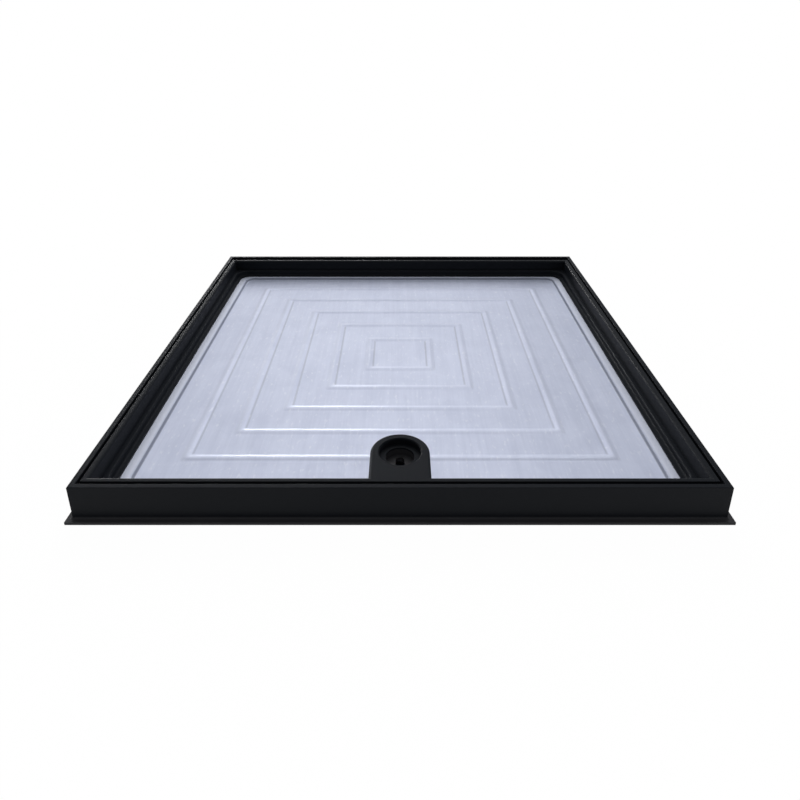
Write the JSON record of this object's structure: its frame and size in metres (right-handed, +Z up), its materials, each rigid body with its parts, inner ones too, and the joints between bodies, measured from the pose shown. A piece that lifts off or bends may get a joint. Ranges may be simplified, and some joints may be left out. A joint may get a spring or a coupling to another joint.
{
  "type": "recessed paving cover",
  "caption": "Square recessed access cover: black plastic frame, lift-out tray with stepped walls, ribbed galvanised pan and an open key well at the front, for filling with paving.",
  "frame": {"origin": "centre of the square base of the frame, on the surface it stands on", "axes": "+Z up out of the recess, -Y towards the side with the key well, +X to the right seen from there"},
  "size_m": [0.7148, 0.7148, 0.044],
  "materials": {
    "frame_plastic": "satin moulded",
    "surround_plastic": "satin moulded",
    "seal_rubber": "matt",
    "galvanised_sheet": "galvanised",
    "key_plate_steel": "zinc plated",
    "screw_steel": "zinc plated"
  },
  "bodies": {
    "root": {"outer_frame": "frame_plastic", "frame_seal": "seal_rubber", "tray_surround": "surround_plastic", "steel_pan": "galvanised_sheet", "key_plate": "key_plate_steel", "key_plate_screws": "screw_steel", "pan_screws": "screw_steel"}
  },
  "joints": []
}
